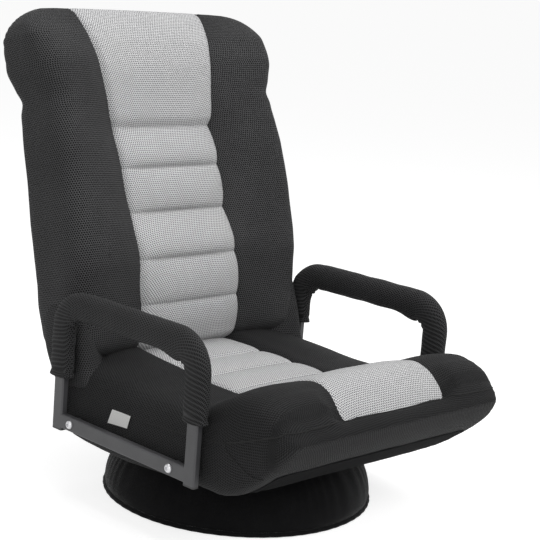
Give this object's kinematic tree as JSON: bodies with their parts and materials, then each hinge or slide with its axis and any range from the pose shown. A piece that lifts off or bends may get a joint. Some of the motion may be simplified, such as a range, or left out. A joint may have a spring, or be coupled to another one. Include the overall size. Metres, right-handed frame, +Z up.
{
  "type": "floor gaming chair",
  "caption": "Padded floor chair on a round swivel base, with a ratchet-hinged back that reclines and folds forward, a raised knee roll and padded armrests, in black and grey mesh.",
  "frame": {"origin": "on the floor, under the middle of the whole chair; the swivel axis is 10.4 mm in front of it", "axes": "+Z up, the sitter faces -Y, the sitter's left is +X"},
  "size_m": [0.5934, 0.7521, 0.8132],
  "materials": {
    "frame_paint": "satin",
    "hinge_steel": "satin",
    "bright_bolt": "polished",
    "black_plastic": "matte",
    "foot_rubber": "matte",
    "black_mesh": "spacer mesh",
    "grey_mesh": "spacer mesh",
    "lining_cloth": "plain weave",
    "skirt_velvet": "velvet",
    "webbing": "woven strap",
    "tag_cloth": "woven, blank"
  },
  "bodies": {
    "base": {"base_ring": "frame_paint", "base_feet": "foot_rubber", "base_cross_frame": "frame_paint", "turntable_lower_plate": "hinge_steel", "turntable_kingpin": "hinge_steel", "turntable_base_bolts": "hinge_steel", "base_skirt": "skirt_velvet", "base_skirt_hem": "skirt_velvet"},
    "bearing": {"bearing_cage": "black_plastic", "bearing_balls": "hinge_steel"},
    "seat": {"turntable_upper_plate": "hinge_steel", "turntable_seat_bolts": "hinge_steel", "seat_frame_tube": "frame_paint", "seat_rear_tube": "frame_paint", "seat_cross_bars": "frame_paint", "seat_webbing": "webbing", "armrest_bosses": "frame_paint", "seat_border": "black_mesh", "seat_centre_pad": "grey_mesh", "seat_knee_roll": "grey_mesh", "seat_bolster_left": "black_mesh", "seat_bolster_right": "black_mesh", "seat_lining": "lining_cloth", "seat_hinge_cover_left": "black_mesh", "seat_hinge_cover_right": "black_mesh", "hinge_cheeks_left": "hinge_steel", "hinge_cheeks_right": "hinge_steel", "hinge_pin_left": "hinge_steel", "hinge_pin_right": "hinge_steel", "pawl_pin_left": "hinge_steel", "pawl_pin_right": "hinge_steel", "armrest_frame_left": "frame_paint", "armrest_frame_right": "frame_paint", "armrest_plugs": "black_plastic", "armrest_bolts": "bright_bolt", "armrest_sleeve_left": "black_mesh", "armrest_sleeve_right": "black_mesh", "seat_side_tag": "tag_cloth"},
    "pawl_left": {"hinge_pawl_left": "hinge_steel"},
    "pawl_right": {"hinge_pawl_right": "hinge_steel"},
    "back": {"back_frame_tube": "frame_paint", "back_cross_tubes": "frame_paint", "back_webbing": "webbing", "hinge_ratchet_left": "hinge_steel", "hinge_ratchet_right": "hinge_steel", "back_rear_pad": "black_mesh", "back_rear_panel": "lining_cloth", "back_channel_pad": "grey_mesh", "back_head_pad": "grey_mesh", "back_bolster_left": "black_mesh", "back_bolster_right": "black_mesh"}
  },
  "joints": [
    {"name": "base_swivel", "type": "hinge", "parent": "base", "child": "seat", "pos_m": [0, -0.0104, 0], "axis": [0, 0, 1], "continuous": true},
    {"name": "bearing_orbit", "type": "hinge", "parent": "base", "child": "bearing", "pos_m": [0, -0.0104, 0], "axis": [0, 0, 1], "continuous": true},
    {"name": "back_recline", "type": "hinge", "parent": "seat", "child": "back", "pos_m": [0, 0.1846, 0.272], "axis": [1, 0, 0], "range_deg": [-50, 84]},
    {"name": "pawl_lift_left", "type": "hinge", "parent": "seat", "child": "pawl_left", "pos_m": [0.232, 0.16066, 0.22697], "axis": [1, 0, 0], "range_deg": [-12, 0], "stiffness_Nm_per_rad": 0.3, "springref_deg": 5.73},
    {"name": "pawl_lift_right", "type": "hinge", "parent": "seat", "child": "pawl_right", "pos_m": [-0.232, 0.16066, 0.22697], "axis": [1, 0, 0], "range_deg": [-12, 0], "stiffness_Nm_per_rad": 0.3, "springref_deg": 5.73}
  ],
  "couplings": [
    {"joint": "bearing_orbit", "follows": "base_swivel", "ratio": 0.5},
    {"joint": "pawl_lift_right", "follows": "pawl_lift_left", "ratio": 1}
  ]
}
